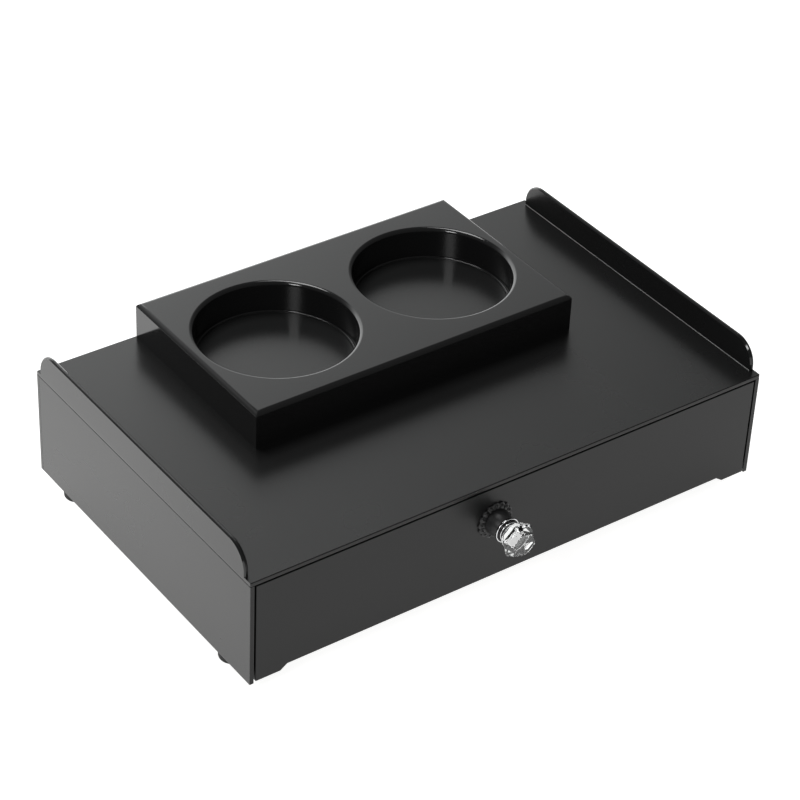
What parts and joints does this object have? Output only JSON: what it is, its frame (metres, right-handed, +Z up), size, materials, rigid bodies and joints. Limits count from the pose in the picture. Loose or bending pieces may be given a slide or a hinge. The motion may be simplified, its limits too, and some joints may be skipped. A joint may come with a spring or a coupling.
{
  "type": "countertop storage drawer",
  "caption": "Low black countertop box on rubber feet with a slide-out drawer, a faceted clear knob, side rails and a raised holder with round wells.",
  "frame": {"origin": "on the floor, under the middle of the whole object's box (drawer closed, knob included)", "axes": "+X to the right along the front, +Y towards the back, +Z up; the drawer opens along -Y"},
  "size_m": [0.4, 0.288, 0.119],
  "materials": {
    "case_board": "satin black sheet",
    "drawer_face": "satin black sheet",
    "drawer_board": "satin black sheet",
    "holder_lacquer": "gloss black",
    "holder_plate": "satin black",
    "well_mat": "satin black",
    "foot_rubber": "matt moulded rubber",
    "fixing_steel": "zinc plated",
    "rosette_metal": "antique black",
    "boss_metal": "smooth dark lacquer",
    "collar_chrome": "polished",
    "knob_glass": "clear, cut and polished"
  },
  "bodies": {
    "case": {"top_panel": "case_board", "left_side_panel": "case_board", "right_side_panel": "case_board", "back_panel": "case_board", "bottom_panel": "case_board", "left_rail": "case_board", "right_rail": "case_board", "foot_front_left": "foot_rubber", "foot_front_right": "foot_rubber", "foot_rear_left": "foot_rubber", "foot_rear_right": "foot_rubber", "foot_screws": "fixing_steel", "foot_nuts": "fixing_steel", "holder_block": "holder_lacquer", "holder_base": "holder_plate", "holder_screws": "fixing_steel", "well_mat_left": "well_mat", "well_mat_right": "well_mat"},
    "drawer": {"drawer_front": "drawer_face", "drawer_left_side": "drawer_board", "drawer_right_side": "drawer_board", "drawer_back": "drawer_board", "drawer_floor": "drawer_board", "knob_rosette": "rosette_metal", "knob_boss": "boss_metal", "knob_collar": "collar_chrome", "knob_crystal": "knob_glass", "knob_washer": "fixing_steel", "knob_screw": "fixing_steel"}
  },
  "joints": [
    {"name": "drawer_slide", "type": "slide", "parent": "case", "child": "drawer", "axis": [0, -1, 0], "range_m": [0, 0.2]}
  ]
}
